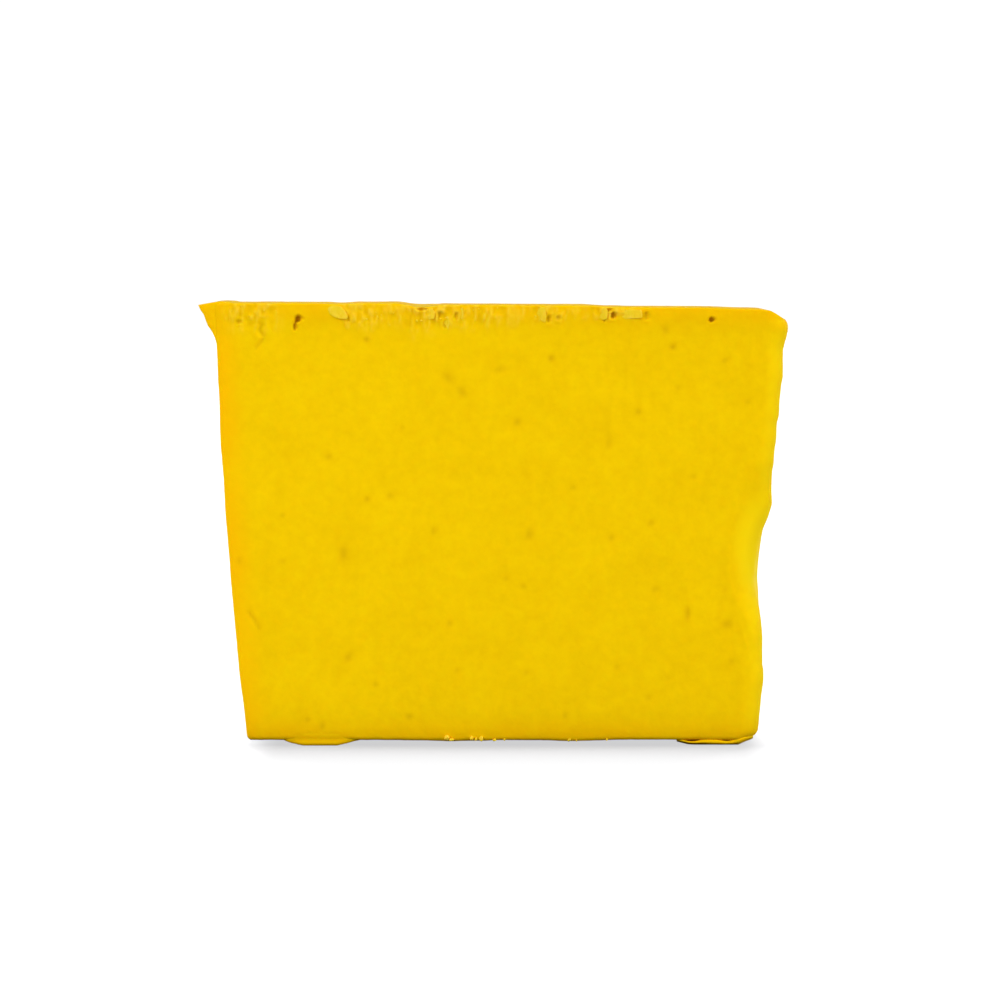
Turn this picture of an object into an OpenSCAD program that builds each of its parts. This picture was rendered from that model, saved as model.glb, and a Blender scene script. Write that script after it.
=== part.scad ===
// Detailing clay bar: a block of soft putty, cut from a longer stick and stood on its narrow long side.
// The blade left a flap of dragged clay on one corner and torn crumbs along the edges, and the bar stands
// on clay that was pressed out and folded under it.
// Millimetres. +Z is up, the broad front face looks along -Y, and the pressed side is at +X.
// The origin is on the table, under the middle of the whole object.

/* [Bar] */
// Width across the top cut
top_width = 72; // [62:1:88]
// Width across the underside
base_width = 64; // [53:1:78]
// Height of the cut left side, from the underside to the top cut
bar_height = 55; // [45:1:67]
// Thickness between the two broad faces
thickness = 18; // [14:1:24]
// How much lower the top cut is at its right end
top_fall = 0.8; // [0:0.2:2]

/* [Rounded edges] */
// Radius of the top right corner, seen from the front
corner_r = 3; // [1.5:0.5:4]
// Radius of the bottom right corner, seen from the front
heel_r = 1; // [0.5:0.25:1.5]
// Radius of the two upright edges on the pressed right side
pressed_edge_r = 2.4; // [1:0.2:3.2]
// Radius of the two upright edges on the cut left side
cut_edge_r = 0.6; // [0.3:0.1:1]
// Radius of the two long edges of the top
top_edge_r = 0.5; // [0.3:0.1:1]
// Radius of the two long edges of the underside
foot_edge_r = 0.6; // [0.3:0.1:1]

/* [Pressed side] */
// Height of the middle of the hollow in the right side, above the underside
hollow_z = 19.5; // [17:0.5:26]
// Length of that hollow, from top to bottom
hollow_length = 16; // [12:1:20]
// Depth of that hollow
hollow_depth = 1.5; // [0.8:0.1:2]
// Radius of the thumb press at the front of the right side
thumb_r = 12; // [9:0.5:15]
// Depth of the thumb press below the front face
thumb_depth = 1.3; // [0.8:0.1:2]
// Height of the middle of the thumb press, above the underside
thumb_z = 22.5; // [19:0.5:30]

/* [Corner flap] */
// How far the dragged flap reaches past the top left corner
flap_reach = 2.1; // [1:0.1:3]
// How far the flap hangs down the left side
flap_drop = 5.5; // [3:0.5:7]
// Length of the part of the flap that lies on the top cut
flap_overlap = 4.5; // [2:0.5:7]
// Thickness of the part of the flap that lies on the top cut
flap_skin = 0.3; // [0.2:0.05:0.5]

/* [Clay under the bar] */
// Gap between the table and the underside of the bar
stand_gap = 0.7; // [0.5:0.1:1.2]
// Width of the pressed-out lip where it joins the underside
lip_width = 10.3; // [8:0.5:13]
// Width of the lip where it lies on the table
lip_flat = 5; // [3:0.5:6.5]
// Distance of the lip's middle from the left end of the underside
lip_inset = 9.7; // [7.5:0.5:14]
// How far the lip stands out past the front face
lip_proud = 0.8; // [0.3:0.1:1.2]
// Length of the flake that is folded under the right end
flake_length = 9; // [6:0.5:12]
// Thickness of the flake's thin free end
flake_tip = 0.35; // [0.25:0.05:0.45]
// Length of the flake's thick end, which carries the bar
flake_heel = 2.5; // [1.5:0.5:4]

/* [Crumbs] */
// Radius of the crumbs along the top of the front face
top_crumb_r = 0.9; // [0.5:0.1:1.1]
// Radius of the crumbs along the foot of the front face
foot_crumb_r = 0.6; // [0.4:0.1:0.8]

/* [Hidden] */
$fn = 64;

clay = [0.95, 0.78, 0.03];
fresh_clay = [0.98, 0.84, 0.2];
over = 1; // how far a cutting tool runs past what it cuts
// A rounding circle is this much larger than a tangent one, so it meets its sides at a faint line.
crease = 1.02;

// The smaller lump of a crumb, as shares of the larger one's radius.
lump_share = 0.65;
lump_offset = 0.85;
crumb_reach = lump_share + lump_offset;

// The four corners of the front face, as [x, z] above the middle of the underside.
foot_left = [-base_width / 2, 0];
foot_right = [base_width / 2, 0];
top_left = [-top_width / 2, bar_height];
top_right = [top_width / 2, bar_height - top_fall];

// Torn crumbs that still stick to the front face, each as [distance from the left end of its edge,
// share of the full radius, turn in degrees].
top_crumb_list = [
    [15.5, 1, 20], [27.1, 0.9, 205], [33.4, 0.7, 75], [41.8, 0.8, 310], [48.8, 0.7, 150], [52.2, 1, 0],
];
foot_crumb_list = [[25.1, 1, 80], [29.2, 0.9, 190], [31.2, 0.6, 350]];

// The largest reach in front of the front face sets how far behind the origin the bar's middle is.
front_proud = max(lip_proud, top_crumb_r, foot_crumb_r);
bar_place = [flap_reach / 2, front_proud / 2, stand_gap];
front_y = -thickness / 2;

function unit(v) = v / norm(v);
function mix(a, b, share) = a + (b - a) * share;
function on_right_side(z) = mix(foot_right, top_right, z / top_right[1])[0];
function on_left_side(z) = mix(foot_left, top_left, z / bar_height)[0];
function on_top(x) = mix(top_left, top_right, (x - top_left[0]) / top_width)[1];

// Radius of the circle that a chord and its depth belong to.
function chord_radius(chord, depth) = (chord * chord / 4 + depth * depth) / (2 * depth);

hollow_r = chord_radius(hollow_length, hollow_depth);

// What rounds the corner p, between the sides that run to a and b, is cut away by this shape.
module corner_waste(p, a, b, r) {
    u = unit(a - p);
    v = unit(b - p);
    half = acos(u * v) / 2;
    centre = p + unit(u + v) * r / sin(half);
    touch_a = p + u * r / tan(half);
    touch_b = p + v * r / tan(half);
    difference() {
        polygon([
            centre,
            touch_a + unit(touch_a - centre) * over,
            p + unit(p - centre) * 2 * over,
            touch_b + unit(touch_b - centre) * over,
        ]);
        translate(centre) circle(r = r * crease);
    }
}

// The bar seen from the front.
module bar_outline() {
    difference() {
        polygon([foot_left, foot_right, top_right, top_left]);
        corner_waste(top_right, top_left, foot_right, corner_r);
        corner_waste(foot_right, top_right, foot_left, heel_r);
        translate([on_right_side(hollow_z) + hollow_r - hollow_depth, hollow_z])
            circle(r = hollow_r, $fn = 128);
    }
}

// What rounds one long edge: the edge runs up from the origin, and the solid is on its -X, -Y side.
module edge_waste(length, r) {
    translate([0, 0, -over]) difference() {
        translate([-r, -r, 0]) cube([r + over, r + over, length + 2 * over]);
        translate([-r, -r, -over]) cylinder(r = r * crease, h = length + 4 * over);
    }
}

// Rounds the front and back edges along the side that runs from a to b, anticlockwise round the outline.
module round_side(a, b, r) {
    lean = atan2(b[0] - a[0], b[1] - a[1]);
    for (back = [0, 1])
        translate([a[0], (back - 0.5) * thickness, a[1]])
            rotate([0, lean, 0])
                mirror([0, 1 - back, 0])
                    edge_waste(norm(b - a), r);
}

module clay_bar() {
    color(clay) difference() {
        rotate([90, 0, 0]) linear_extrude(height = thickness, center = true) bar_outline();
        round_side(foot_right, top_right, pressed_edge_r);
        round_side(top_left, foot_left, cut_edge_r);
        round_side(top_right, top_left, top_edge_r);
        round_side(foot_left, foot_right, foot_edge_r);
        translate([on_right_side(thumb_z), front_y - (thumb_r - thumb_depth), thumb_z]) sphere(r = thumb_r);
    }
}

// Clay that the blade dragged over the corner: a thin skin on the top cut and a pointed fin down the side.
module corner_flap() {
    tip = [top_left[0] - flap_reach, bar_height];
    skin_end = top_left[0] + flap_overlap;
    fin_z = bar_height - flap_drop;
    clear = max(cut_edge_r, top_edge_r);
    color(clay) rotate([90, 0, 0]) linear_extrude(height = thickness - 2 * clear, center = true)
        difference() {
            polygon([
                tip,
                [on_left_side(fin_z), fin_z],
                top_left + [over, -over],
                [skin_end, on_top(skin_end)],
                [skin_end, on_top(skin_end) + flap_skin],
                top_left + [0, flap_skin],
            ]);
            polygon([foot_left, foot_right, top_right, top_left]);
        }
}

// A crumb is two lumps of torn clay, flat where it sticks to the front face. The front face is at y = 0.
module crumb(r, turn) {
    intersection() {
        rotate([0, turn, 0]) union() {
            sphere(r = r);
            translate([lump_offset * r, 0, 0]) sphere(r = lump_share * r);
        }
        translate([-2 * r, -2 * r, -2 * r]) cube([4 * r, 2 * r, 4 * r]);
    }
}

module top_edge_crumbs() {
    below = top_edge_r + crumb_reach * top_crumb_r;
    color(fresh_clay) for (c = top_crumb_list) {
        x = top_left[0] + c[0];
        translate([x, front_y, on_top(x) - below]) crumb(c[1] * top_crumb_r, c[2]);
    }
}

module foot_edge_crumbs() {
    above = foot_edge_r + crumb_reach * foot_crumb_r;
    color(fresh_clay) for (c = foot_crumb_list)
        translate([foot_left[0] + c[0], front_y, above]) crumb(c[1] * foot_crumb_r, c[2]);
}

// Clay pressed out under the bar: round below, and flat where it lies on the table.
module squeezed_lip() {
    middle = foot_left[0] + lip_inset;
    // The circle through the edges of the flat, at the table, and the edges of the lip, at the underside.
    rise = ((lip_width * lip_width - lip_flat * lip_flat) / 4 + stand_gap * stand_gap) / (2 * stand_gap);
    lip_r = norm([lip_flat / 2, rise]);
    lip_depth = thickness + lip_proud - foot_edge_r;
    color(clay) translate([middle, 0, -stand_gap]) intersection() {
        translate([0, over + thickness, rise]) rotate([90, 0, 0])
            cylinder(r = lip_r, h = 2 * thickness + 2 * over, $fn = 128);
        translate([-lip_width, front_y - lip_proud, 0]) cube([2 * lip_width, lip_depth, stand_gap]);
    }
}

// A flake folded back under the right end: it carries the bar on its thick heel and thins out to a free end.
module folded_flake() {
    heel_end = foot_right[0] - heel_r;
    color(clay) translate([0, 0, -stand_gap])
        rotate([90, 0, 0]) linear_extrude(height = thickness - 2 * foot_edge_r, center = true)
            polygon([
                [heel_end - flake_length, 0],
                [heel_end, 0],
                [heel_end, stand_gap],
                [heel_end - flake_heel, stand_gap],
                [heel_end - flake_length, flake_tip],
            ]);
}

// Puts a piece, drawn round the middle of the bar's underside, in the object's own frame.
module in_frame() {
    translate(bar_place) children();
}

in_frame() clay_bar();
in_frame() corner_flap();
in_frame() top_edge_crumbs();
in_frame() foot_edge_crumbs();
in_frame() squeezed_lip();
in_frame() folded_flake();
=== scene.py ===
"""Detailing clay bar: a cut block of soft yellow putty with torn edges.

It stands on clay that was squeezed out and folded under it.
"""

import math

import bmesh
import bpy
import numpy as np
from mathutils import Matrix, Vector


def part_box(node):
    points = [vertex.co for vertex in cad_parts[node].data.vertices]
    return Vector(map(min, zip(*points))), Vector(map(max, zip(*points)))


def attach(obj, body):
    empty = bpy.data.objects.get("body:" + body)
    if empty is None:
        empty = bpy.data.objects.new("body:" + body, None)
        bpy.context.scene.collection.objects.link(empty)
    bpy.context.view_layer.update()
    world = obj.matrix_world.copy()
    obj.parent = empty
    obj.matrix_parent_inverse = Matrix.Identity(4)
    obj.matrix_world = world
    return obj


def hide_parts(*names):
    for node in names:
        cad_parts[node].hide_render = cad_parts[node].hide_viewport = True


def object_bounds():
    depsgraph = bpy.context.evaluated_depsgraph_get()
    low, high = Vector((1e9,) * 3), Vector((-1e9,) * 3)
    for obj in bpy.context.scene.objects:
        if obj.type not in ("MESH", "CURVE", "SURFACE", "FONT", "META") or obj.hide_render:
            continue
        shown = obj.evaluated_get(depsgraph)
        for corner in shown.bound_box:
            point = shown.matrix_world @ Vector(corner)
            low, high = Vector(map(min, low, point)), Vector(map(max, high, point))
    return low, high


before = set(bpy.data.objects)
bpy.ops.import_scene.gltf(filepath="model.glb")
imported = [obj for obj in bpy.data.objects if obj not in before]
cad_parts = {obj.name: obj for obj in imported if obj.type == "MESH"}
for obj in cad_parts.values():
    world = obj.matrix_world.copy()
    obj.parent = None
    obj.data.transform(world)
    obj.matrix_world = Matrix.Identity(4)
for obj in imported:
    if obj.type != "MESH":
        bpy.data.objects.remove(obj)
cad_low, cad_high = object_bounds()

# -------- the bar's own measures, in millimetres
# x runs across from the middle of the underside, z up from the underside, and y back from the middle.
MM = 0.001
HALF_TOP = 36.0
bar_low, bar_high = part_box("clay_bar")
MIDDLE = Vector((bar_low.x + HALF_TOP * MM, (bar_low.y + bar_high.y) / 2, bar_low.z))
HEIGHT = (bar_high.z - bar_low.z) / MM
FRONT = (bar_low.y - MIDDLE.y) / MM
BACK = -FRONT
TABLE = (cad_low.z - MIDDLE.z) / MM

# Outline seen from the front: the left side and the right side as (height, x), the top cut as (x, height).
LEFT_SIDE = [
    (0, -31.75), (0.2, -32.0), (0.5, -32.16), (1, -32.24), (1.6, -32.3), (4.6, -32.6), (7.6, -33.0),
    (13.6, -33.55), (19.7, -34.1), (22.7, -34.3), (28.7, -34.8), (32.7, -35), (37.8, -35.4), (42.8, -35.52),
    (46, -35.7), (48.6, -35.76), (50, -35.85), (51.5, -35.95), (55, -36),
]
RIGHT_SIDE = [
    (0, 31.2), (0.35, 31.6), (0.6, 31.9), (0.85, 32.1), (1.1, 32.2), (1.6, 32.28), (3.1, 32.42),
    (5.6, 32.65), (7.6, 32.9), (8.6, 32.88), (9.6, 32.75), (12.6, 32.75), (14.6, 32.62), (16.7, 32.35),
    (18.7, 31.92), (19.9, 31.72), (21.2, 31.82), (22.7, 32), (24.7, 32.38), (26.7, 32.95), (27.9, 33.45),
    (28.9, 33.75), (29.7, 33.95), (31.7, 33.87), (33.8, 33.95), (34.8, 34.1), (36.8, 34.25), (37.8, 34.42),
    (39.8, 34.5), (40.8, 34.73), (42.8, 34.84), (44.8, 35.05), (45.8, 35.22), (48.8, 35.24), (49.8, 35.42),
    (50.8, 35.68), (51.8, 35.84), (52.4, 35.76), (52.85, 35.5),
]
TOP_CUT = [
    (-36, 54.95), (-23, 54.93), (-20.6, 54.82), (-18, 54.93), (-13.6, 54.93), (-12.1, 54.76), (-10.8, 54.47),
    (-9.1, 54.54), (-7.6, 54.72), (6, 54.68), (10, 54.67), (13.6, 54.5), (22.7, 54.42), (26, 54.38),
    (28.7, 54.27), (32.4, 54.17), (33.4, 54.05), (34.4, 53.55), (35.1, 53.1), (35.5, 52.85),
]
# Lower line of the bar's front, which sags a little where clay hangs on it, as (x, height).
FOOT_LINE = [
    (-31.5, 0.02), (-16, 0), (-10.6, -0.05), (-8.5, -0.1), (-6.5, -0.16), (-4.5, -0.1), (-2.5, -0.1),
    (-0.5, -0.02), (5.5, -0.05), (8.5, -0.15), (11.5, -0.08), (15.5, 0.04), (31.5, 0),
]
RIGHT_TOP = RIGHT_SIDE[-1][0]

# The top cut without its torn dips: its height at the left end, and how much it falls per millimetre.
TOP_LEVEL, TOP_SLOPE = 54.93, 0.0089
# The back edge of the pressed side is nearly straight, between these two places.
PLAIN_FOOT_X, PLAIN_TOP_X = 32.3, 35.7

# The front face stands out along its top edge and fades back to flat further down.
TOP_FLARE, FLARE_REACH = 0.33, 2.5
# It rolls under at its foot, softly from one height and again closer to the edge, as (height, depth).
FOOT_ROLLS = [(3.9, 0.36), (1.5, 0.1)]
# The thumb press at the front of the pressed side: its middle, its reach to the left, up and down, its depth.
PRESS_X, PRESS_Z = 33.6, 22.6
PRESS_LEFT, PRESS_UP, PRESS_DOWN = 5.4, 13.0, 8.5
PRESS_DEPTH = 1.5
# How quickly the round upright edges of the pressed side fall back: their width and their depth.
PRESSED_ROUND = (2.5, 1.9)

# Torn stretches of the top edge: (middle x, half width, how far down they reach, strength).
TORN_STRETCHES = [
    (-31.3, 3.8, 4.6, 0.8), (-17.2, 3.4, 4.0, 0.8), (-13.4, 2.6, 3.8, 0.6), (-9.5, 3.8, 4.4, 1.0),
    (-3.2, 3.8, 4.0, 0.9), (1.4, 2.6, 3.2, 0.6), (5.6, 3.0, 3.4, 0.7), (9.6, 2.4, 2.4, 0.4),
    (13.8, 3.6, 2.0, 0.8),
]
# Deep holes with sharp sides: (x, z, half width, half height, depth).
HOLES = [
    (-25.6, 53.0, 0.4, 0.42, 0.75), (-25.95, 52.1, 0.24, 0.5, 0.4), (26.2, 52.9, 0.36, 0.28, 0.6),
    (-33.0, 52.6, 0.22, 0.3, 0.25), (-10.1, 54.2, 0.6, 0.16, 0.3), (-7.9, 53.5, 0.3, 0.42, 0.2),
    (-7.2, 52.3, 0.24, 0.5, 0.16), (-5.7, 53.4, 0.22, 0.45, 0.2), (5.8, 53.0, 0.28, 0.45, 0.2),
    (7.0, 53.1, 0.32, 0.3, 0.2), (13.3, 54.1, 0.45, 0.18, 0.3), (13.9, 53.4, 0.32, 0.4, 0.5),
    (12.7, 52.9, 0.18, 0.25, 0.25), (18.0, 53.4, 0.3, 0.5, 0.25),
]
# Soft dimples in the face: (x, z, radius, depth, stretch along its own axis, turn in degrees from level).
DIMPLES = [
    (-6.9, 45.6, 0.55, 0.10, 1.6, -45), (-5.2, 43.8, 0.5, 0.10, 1.5, -45), (-0.4, 46.6, 0.45, 0.08, 2.0, 5),
    (1.8, 40, 0.45, 0.12, 1, 0), (17, 41.3, 0.4, 0.11, 1, 0), (13.3, 37.4, 0.4, 0.08, 2.0, 80),
    (30.7, 42.6, 0.4, 0.08, 1, 0), (27.8, 47.7, 0.4, 0.09, 1.4, 30), (22, 44.4, 0.4, 0.07, 1, 0),
    (20.4, 51.5, 0.45, 0.10, 1.2, 90), (21.3, 49.4, 0.38, 0.16, 1, 0), (6.0, 48, 0.38, 0.16, 1, 0),
    (-17.1, 50.3, 0.33, 0.14, 1, 0), (-21.8, 35.7, 0.45, 0.10, 1, 0), (24, 33.2, 0.4, 0.07, 1, 0),
    (8.8, 31.8, 0.4, 0.09, 1, 0), (-14.1, 30.8, 0.4, 0.08, 1.3, 60), (-17, 30.3, 0.35, 0.11, 1, 0),
    (-27.6, 28.3, 0.35, 0.08, 1, 0), (18.6, 27.3, 0.4, 0.11, 1, 0), (-8.7, 26.3, 0.4, 0.09, 1.4, 90),
    (3.3, 25.9, 0.5, 0.11, 1.4, 70), (13.6, 25.5, 0.42, 0.09, 1, 0), (-20, 23.5, 0.5, 0.12, 1.9, 85),
    (-27.6, 22.5, 0.4, 0.08, 1, 0), (-33.1, 22.6, 0.35, 0.09, 1.6, 90), (0.4, 20.3, 0.35, 0.07, 1, 0),
    (2.6, 19.4, 0.4, 0.08, 1, 0), (19.1, 19, 0.4, 0.09, 1, 0), (23.2, 15.8, 0.4, 0.12, 2.2, 88),
    (-6.7, 14.7, 0.4, 0.09, 1, 0), (28.2, 14.6, 0.55, 0.11, 1.3, 10), (-19.4, 10.4, 0.45, 0.12, 1.4, 60),
    (28.8, 9.9, 0.35, 0.07, 1, 0), (-5.8, 8.8, 0.35, 0.07, 1, 0), (3, 8.5, 0.4, 0.08, 1, 0),
    (20.8, 7.8, 0.35, 0.07, 1, 0), (-16, 7, 0.35, 0.09, 1, 0), (18.3, 5.3, 0.4, 0.09, 1, 0),
    (7.8, 3.1, 0.35, 0.09, 1.4, 90), (-11.8, 2.9, 0.4, 0.12, 1, 0), (-22.7, 1.7, 0.4, 0.10, 1.5, 80),
    (-24.6, 2.5, 0.4, 0.09, 1, 0), (14.4, 9.3, 0.35, 0.06, 1, 0), (-12.6, 39.3, 0.35, 0.06, 1, 0),
]
# Scratches, each along a short path of (x, z) points, with half width and depth.
SCRATCHES = [
    ([(-30.1, 52.2), (-30.45, 51.6), (-29.95, 50.9)], 0.2, 0.16),
    ([(-30.0, 50.5), (-30.3, 50.0), (-30.9, 49.4)], 0.2, 0.13),
    ([(-31.9, 16.2), (-31.2, 15.2), (-30.6, 14.1)], 0.24, 0.12),
    ([(13.5, 42.9), (13.1, 40.4), (13.3, 36.7)], 0.4, 0.035),
    ([(27.9, 19.0), (27.2, 16.7), (26.9, 15.1)], 0.35, 0.04),
    ([(24.6, 40.4), (24.9, 38.2), (24.7, 36.4)], 0.35, 0.03),
]
# Thin ridges that catch the light, written the same way, with half width and height.
RIDGES = [
    ([(27.0, 41.5), (27.2, 38.9), (26.8, 36.5)], 0.34, 0.06), ([(26.2, 40.2), (26.1, 37.8)], 0.3, 0.04),
    ([(-30.75, 52.0), (-31.0, 51.2), (-30.6, 50.6)], 0.25, 0.09),
    ([(-29.5, 51.6), (-29.4, 50.6)], 0.22, 0.07),
]
# Raised scales of torn clay, as (corners, how far the free end lifts, thickness, where that end faces).
SCALES = [
    ([
        (-22.2, 54.2), (-21.4, 54.65), (-20.2, 54.6), (-19.7, 54.0), (-19.35, 53.3), (-19.4, 52.95),
        (-20.4, 52.95), (-21.4, 53.4),
    ], 0.36, 0.22, -12),
    ([(-9.9, 53.5), (-9.5, 54.2), (-8.8, 54.4), (-8.45, 53.8), (-8.55, 53.0), (-9.2, 52.9)], 0.24, 0.2, -10),
    ([(12.1, 53.2), (12.4, 54.2), (12.9, 54.4), (13.2, 53.9), (13.1, 53.1), (12.6, 52.8)], 0.26, 0.2, 0),
    ([
        (14.6, 53.3), (15.1, 54), (16.4, 54.2), (17.4, 54.1), (17.5, 53.1), (16.5, 53), (15.4, 53),
    ], 0.26, 0.2, 0),
    ([
        (4.3, 53.7), (4.6, 54.4), (5.3, 54.5), (5.45, 53.4), (5.4, 52.5), (4.9, 52.7), (4.5, 53.3),
    ], 0.18, 0.18, 0),
    ([(-7.3, 52.4), (-7.2, 53.2), (-6.8, 53.3), (-6.6, 52.6), (-6.8, 51.6)], 0.16, 0.16, 0),
    ([(-5.5, 53.2), (-5.3, 54.3), (-4.95, 54.5), (-4.85, 53.6), (-5.1, 52.9)], 0.16, 0.16, 0),
]

# Lumps in a skin, as (height, size along the first direction, size along the second, seed).
FACE_LUMPS = [(0.06, 14, 18, 3), (0.019, 0.8, 7, 4), (0.018, 1.5, 1.9, 5)]
SHRED_LUMPS = [(1, 0.3, 0.85, 7), (0.5, 0.55, 1.1, 8), (0.4, 0.26, 0.45, 9)]
PRESSED_SIDE_LUMPS = [(0.07, 3.4, 3.0, 31), (0.03, 1.2, 2.4, 32)]


def follow(stops, at):
    """Value at each place of a smooth curve through (place, value) stops."""
    places, values = np.array(stops, float).T
    steps = np.diff(values) / np.diff(places)
    steep = np.abs(steps)
    slopes = np.concatenate([steps[:1], (steps[1:] + steps[:-1]) / 2, steps[-1:]])
    # A slope no steeper than twice the flatter step beside it keeps the curve from swinging past its stops.
    limit = 2 * np.concatenate([steep[:1], np.minimum(steep[1:], steep[:-1]), steep[-1:]])
    slopes = np.clip(slopes, -limit, limit)
    at = np.clip(at, places[0], places[-1])
    i = np.clip(np.searchsorted(places, at) - 1, 0, len(places) - 2)
    gap = places[i + 1] - places[i]
    t = (at - places[i]) / gap
    return (
        values[i] * (1 + 2 * t) * (1 - t) ** 2 + slopes[i] * gap * t * (1 - t) ** 2
        + values[i + 1] * t * t * (3 - 2 * t) + slopes[i + 1] * gap * t * t * (t - 1)
    )


def ease(value, low, high):
    """0 below low, 1 above high, smooth between; low may be the larger."""
    t = np.clip((value - low) / (high - low), 0, 1)
    return t * t * (3 - 2 * t)


def hill(*reaches):
    """1 at a middle and fading to 0 round it, from the distances to it as shares of its reach."""
    return np.exp(-sum(reach ** 2 for reach in reaches))


def lumps(x, z, wide, tall, seed):
    """Smooth random lumps from -1 to 1, about `wide` by `tall` across."""
    table = np.random.default_rng(seed).uniform(-1, 1, (97, 97))
    u, v = np.asarray(x) / wide + 500.5, np.asarray(z) / tall + 500.5
    i, j = np.floor(u).astype(int), np.floor(v).astype(int)
    s, t = u - i, v - j
    s, t = s * s * (3 - 2 * s), t * t * (3 - 2 * t)
    i, j, k, m = i % 97, j % 97, (i + 1) % 97, (j + 1) % 97
    low_row = table[i, j] * (1 - s) + table[k, j] * s
    return low_row * (1 - t) + (table[i, m] * (1 - s) + table[k, m] * s) * t


def lump_sum(x, z, rows):
    return sum(height * lumps(x, z, wide, tall, seed) for height, wide, tall, seed in rows)


def columns(*parts):
    """One array whose last axis runs through the parts."""
    return np.stack(parts, -1)


def from_path(x, z, path):
    """Distance of each place from a path of straight pieces."""
    best = np.full(np.shape(x), 1e9)
    for (ax, az), (bx, bz) in zip(path, path[1:]):
        length = (bx - ax) ** 2 + (bz - az) ** 2
        t = np.clip(((x - ax) * (bx - ax) + (z - az) * (bz - az)) / length, 0, 1)
        best = np.minimum(best, np.hypot(x - ax - t * (bx - ax), z - az - t * (bz - az)))
    return best


def rolled(distance, width, depth):
    """How far a face falls back at a distance from its rounded edge."""
    t = np.clip(1 - distance / width, 0, 1)
    return depth * (1 - np.sqrt(1 - t * t * 0.9999))


def left_x(z):
    return follow(LEFT_SIDE, z)


def right_x(z, depth_share=0.0):
    """The pressed side, whose hollow is deepest at the front and flatter at the back."""
    pressed = follow(RIGHT_SIDE, z)
    plain = PLAIN_FOOT_X + (PLAIN_TOP_X - PLAIN_FOOT_X) * np.clip(z / RIGHT_TOP, 0, 1)
    plain = plain - 1.2 * rolled(z, 1.2, 1) - 0.35 * ease(z, RIGHT_TOP - 2.5, RIGHT_TOP)
    return pressed + (plain - pressed) * 0.55 * ease(depth_share, 0.1, 0.9)


def top_z(x, depth_share=0.0):
    """The top cut, whose torn dips at the front get shallower towards the back."""
    front = follow(TOP_CUT, x)
    dip = np.clip(TOP_LEVEL - TOP_SLOPE * (x + HALF_TOP) - front, 0, 1) * ease(x, 30, 27)
    return front + 0.7 * dip * ease(depth_share, 0.1, 0.7) + 0.1 * depth_share * lumps(x, x * 0, 9, 1, 41)


def top_flare(below_top):
    return TOP_FLARE * hill(below_top / FLARE_REACH)


# -------- relief of each side
def tearing(x, z, below_top):
    """How torn the front face is at each place, before its shreds break that up."""
    torn = np.zeros_like(x)
    for middle, half, reach, strength in TORN_STRETCHES:
        ragged = reach * (1 + 0.35 * lumps(x, z * 0, 0.9, 1, 6))
        patch = ease(np.abs(x - middle), half * 1.15, half * 0.5) * ease(below_top, ragged, ragged * 0.35)
        torn = np.maximum(torn, strength * patch)
    return torn


def front_relief(x, z):
    """How far the front face stands out at each place, then how much painted shade its hollows get and how
    torn it is there.
    """
    below_top = top_z(x) - z
    out = top_flare(below_top)
    for height, depth in FOOT_ROLLS:
        out = out - depth * np.clip(1 - z / height, 0, 1) ** 2
    out += lump_sum(x, z, FACE_LUMPS)
    out += 0.02 * ease(below_top, 14, 2) * lumps(x, z, 0.55, 4, 14)

    shreds = lump_sum(x, z, SHRED_LUMPS)
    torn = tearing(x, z, below_top)
    out += torn * 0.15 * shreds
    # Painted shade in the hollows between the torn shreds.
    pit_shade = torn * 0.22 * ease(-shreds, 0.2, 1.2)
    # The paler torn colour is kept to the raised shreds: partly fresh torn clay, partly a painted highlight
    # where they catch the light.
    torn = torn * ease(shreds, -0.3, 0.9)

    # Dimples, holes and scratches each add painted shade, more the deeper they are.
    for px, pz, radius, depth, stretched, turn in DIMPLES:
        c, s = math.cos(math.radians(turn)), math.sin(math.radians(turn))
        along, across = (x - px) * c + (z - pz) * s, (z - pz) * c - (x - px) * s
        dip = hill(along / (radius * stretched), across / radius)
        out -= depth * dip
        pit_shade = np.maximum(pit_shade, dip * depth * 3.5)
    for px, pz, half_wide, half_tall, depth in HOLES:
        wobble = 1 + 0.18 * lumps(x, z, 0.35, 0.35, 10)
        d = np.hypot((x - px) / half_wide, (z - pz) / half_tall) / wobble
        dip = ease(d, 1.3, 0.7)
        out -= depth * dip
        out += 0.05 * hill((d - 1.6) / 0.4)
        pit_shade = np.maximum(pit_shade, dip * min(1.0, 0.15 + 1.3 * depth))
    for path, half, depth in SCRATCHES:
        dip = hill(from_path(x, z, path) / half)
        out -= depth * dip
        pit_shade = np.maximum(pit_shade, dip * min(1.0, depth * 2.5))
    for path, half, height in RIDGES:
        out += height * hill(from_path(x, z, path) / half)

    # A bumpy patch by the cut side, slanting drag lines below the thumb press, and faint upright lines
    # along the whole pressed side.
    out += 0.05 * ease(np.hypot((x + 29) / 2.6, (z - 38.3) / 3.2), 1, 0.4) * lumps(x, z, 0.7, 0.8, 11)
    lines = ease(np.hypot((x - 30.6) / 2.2, (z - 13) / 5.5), 1, 0.4)
    out += 0.045 * lines * lumps(x + 0.28 * z, z, 0.38, 7, 12)
    out += 0.02 * ease(x, 24, 33) * lumps(x - 0.1 * z, z, 0.7, 12, 13)

    # The thumb press, with the clay that it pushed up beside it and the shallow dip beyond that.
    half_tall = np.where(z > PRESS_Z, PRESS_UP, PRESS_DOWN)
    press = np.clip(1 - ((x - PRESS_X) / PRESS_LEFT) ** 2 - ((z - PRESS_Z) / half_tall) ** 2, 0, 1)
    out -= PRESS_DEPTH * press ** 1.4
    out += 0.09 * hill((x - 28.6) / 1.2, (z - 22.5) / 3.6)
    out -= 0.07 * hill((x - 26.3) / 1.5, (z - 21.3) / 3.2)
    return out, pit_shade, torn


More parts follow.
